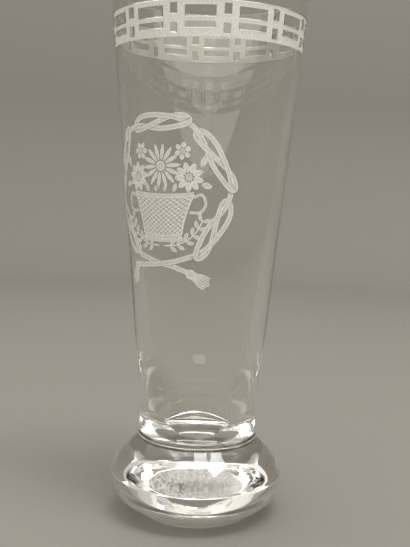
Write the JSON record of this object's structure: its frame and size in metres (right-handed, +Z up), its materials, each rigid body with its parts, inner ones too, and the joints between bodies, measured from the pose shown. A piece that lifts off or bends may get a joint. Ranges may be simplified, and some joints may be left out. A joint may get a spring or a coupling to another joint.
{
  "type": "engraved footed glass",
  "caption": "Tall tapering drinking glass on a heavy solid domed foot, joined by a thin collar, with a wheel-cut lattice band under its rim.",
  "frame": {"origin": "centre of the ring that the foot stands on, in the plane of that ring", "axes": "+Z up along the glass's axis to the rim; -Y is the side that the picture looks at"},
  "size_m": [0.0732, 0.0732, 0.195],
  "materials": {
    "foot_glass": "clear, fire polished, ground hollow underneath",
    "collar_glass": "clear, fire polished",
    "bowl_glass": "clear, fire polished, with matte wheel engraving"
  },
  "bodies": {
    "root": {"foot": "foot_glass", "collar": "collar_glass", "bowl": "bowl_glass"}
  },
  "joints": []
}
